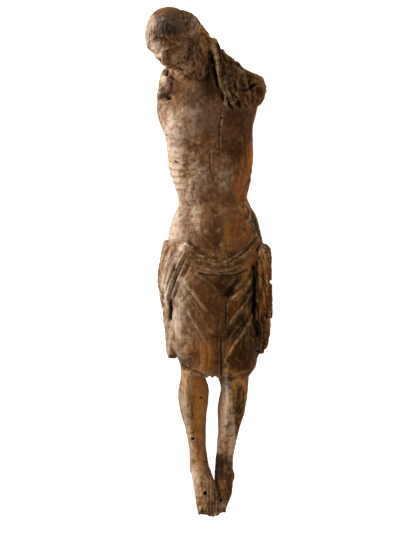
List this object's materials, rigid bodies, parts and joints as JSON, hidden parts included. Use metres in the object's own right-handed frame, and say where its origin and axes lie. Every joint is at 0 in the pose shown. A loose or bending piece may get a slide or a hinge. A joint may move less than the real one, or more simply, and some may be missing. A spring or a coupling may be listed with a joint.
{
  "type": "crucifix corpus figure",
  "caption": "Carved wooden corpus lying on its back, arms lost at the shoulders, head bowed, ribs showing, knee-length loincloth with deep folds, bare lower legs.",
  "frame": {"origin": "middle of the outline, on the plane that the back lies on", "axes": "+Y from the toes towards the crown, +X towards the figure's left side, +Z out of its chest"},
  "size_m": [0.3626, 1.4496, 0.2896],
  "materials": {
    "aged_wood": "dry, worn, uneven"
  },
  "bodies": {
    "root": {"corpus_figure": "aged_wood"}
  },
  "joints": []
}
